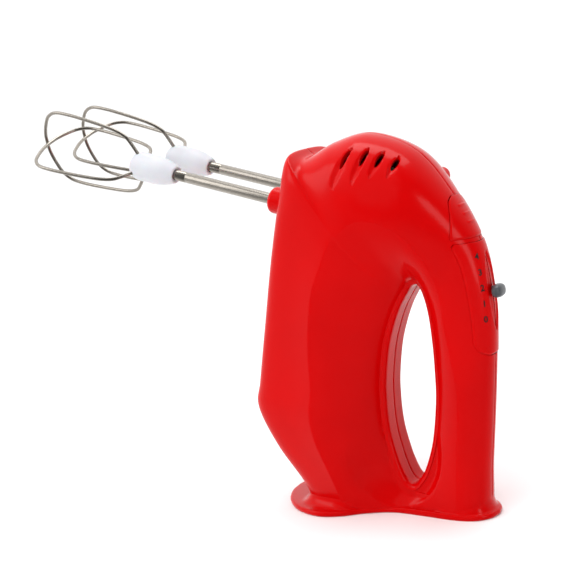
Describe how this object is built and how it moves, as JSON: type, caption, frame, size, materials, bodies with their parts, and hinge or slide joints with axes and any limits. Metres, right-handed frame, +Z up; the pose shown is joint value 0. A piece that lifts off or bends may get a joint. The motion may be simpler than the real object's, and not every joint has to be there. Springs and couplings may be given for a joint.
{
  "type": "hand mixer",
  "caption": "Hand mixer standing on its heel: a glossy closed-loop body with a hand opening, speed slider, eject button and wire beaters with moulded hubs.",
  "frame": {"origin": "centre of the flat underside of the heel foot, on the mirror plane", "axes": "+Z up from the foot, -X the way the beaters point, +X towards the handle, Y across the mirror plane"},
  "size_m": [0.2795, 0.0798, 0.2246],
  "materials": {
    "red_plastic": "glossy, moulded",
    "dark_plastic": "satin, moulded",
    "white_nylon": "satin, moulded",
    "polished_steel": "drawn and tumbled bright",
    "plain_steel": "plain",
    "cast_zinc": "die-cast, matt",
    "sintered_bronze": "sintered, matt",
    "brass": "turned",
    "lamination_steel": "stacked sheet",
    "copper_winding": "enamelled wire",
    "black_plastic": "moulded",
    "carbon": "pressed carbon",
    "gear_nylon": "moulded, greased",
    "rubber": "matt",
    "pale_plastic": "moulded",
    "circuit_board": "solder mask",
    "film_capacitor": "cast"
  },
  "bodies": {
    "root": {"left_housing": "red_plastic", "right_housing": "red_plastic", "heel_foot": "red_plastic", "switch_panel": "red_plastic", "housing_screws": "plain_steel", "foot_screws": "plain_steel", "left_collar": "red_plastic", "right_collar": "red_plastic", "gearbox_frame": "cast_zinc", "front_bushes": "sintered_bronze", "rear_bushes": "sintered_bronze", "worm_thrust_bearing": "sintered_bronze", "front_motor_bearing": "sintered_bronze", "rear_motor_bearing": "sintered_bronze", "motor_stack": "lamination_steel", "front_field_coil": "copper_winding", "rear_field_coil": "copper_winding", "motor_bridge": "black_plastic", "motor_bolts": "plain_steel", "brush_holders": "brass", "carbon_brushes": "carbon", "brush_springs": "plain_steel", "switch_body": "black_plastic", "speed_board": "circuit_board", "suppressor": "film_capacitor", "terminal_block": "pale_plastic", "cord_gland": "rubber", "cord_clamp": "pale_plastic", "clamp_screws": "plain_steel", "eject_spring": "plain_steel"},
    "armature": {"armature_shaft": "plain_steel", "drive_worm": "brass", "cooling_fan": "black_plastic", "armature_core": "lamination_steel", "armature_winding": "copper_winding", "commutator": "copper_winding"},
    "left_drive": {"left_worm_gear": "gear_nylon", "left_spindle": "plain_steel", "left_circlip": "plain_steel"},
    "right_drive": {"right_worm_gear": "gear_nylon", "right_spindle": "plain_steel", "right_circlip": "plain_steel"},
    "left_beater": {"left_beater_shaft": "polished_steel", "left_beater_hub": "white_nylon", "left_outer_wire": "polished_steel", "left_inner_wire": "polished_steel"},
    "right_beater": {"right_beater_shaft": "polished_steel", "right_beater_hub": "white_nylon", "right_outer_wire": "polished_steel", "right_inner_wire": "polished_steel"},
    "button": {"eject_button": "red_plastic"},
    "ejector": {"eject_fork": "gear_nylon"},
    "speed_slider": {"speed_knob": "dark_plastic", "slider_carriage": "gear_nylon", "wiper_contact": "brass"}
  },
  "joints": [
    {"name": "armature_spin", "type": "hinge", "parent": "root", "child": "armature", "pos_m": [-0.01642, 0, 0.162], "axis": [0.225, 0, 0.9744], "continuous": true},
    {"name": "left_gear_spin", "type": "hinge", "parent": "root", "child": "left_drive", "pos_m": [-0.0437, -0.0165, 0.1683], "axis": [-0.9744, 0, 0.225], "continuous": true},
    {"name": "right_gear_spin", "type": "hinge", "parent": "root", "child": "right_drive", "pos_m": [-0.0437, 0.0165, 0.1683], "axis": [-0.9744, 0, 0.225], "continuous": true},
    {"name": "eject_press", "type": "slide", "parent": "root", "child": "button", "axis": [-0.4675, 0, -0.884], "range_m": [0, 0.004], "stiffness_N_per_m": 900, "springref_m": -0.004},
    {"name": "eject_fork_slide", "type": "slide", "parent": "root", "child": "ejector", "axis": [-0.9744, 0, 0.225], "range_m": [0, 0.005], "deforming": ["eject_spring"]},
    {"name": "left_beater_slide", "type": "slide", "parent": "left_drive", "child": "left_beater", "axis": [-0.9744, 0, 0.225], "range_m": [0, 0.005]},
    {"name": "right_beater_slide", "type": "slide", "parent": "right_drive", "child": "right_beater", "axis": [-0.9744, 0, 0.225], "range_m": [0, 0.005]},
    {"name": "speed_slide", "type": "slide", "parent": "root", "child": "speed_slider", "axis": [-0.0872, 0, 0.9962], "range_m": [-0.016, 0.016]}
  ],
  "couplings": [
    {"joint": "left_gear_spin", "follows": "armature_spin", "ratio": 0.076923},
    {"joint": "right_gear_spin", "follows": "armature_spin", "ratio": -0.076923},
    {"joint": "eject_fork_slide", "follows": "eject_press", "ratio": 1.25},
    {"joint": "left_beater_slide", "follows": "eject_press", "ratio": 1.25},
    {"joint": "right_beater_slide", "follows": "eject_press", "ratio": 1.25}
  ]
}
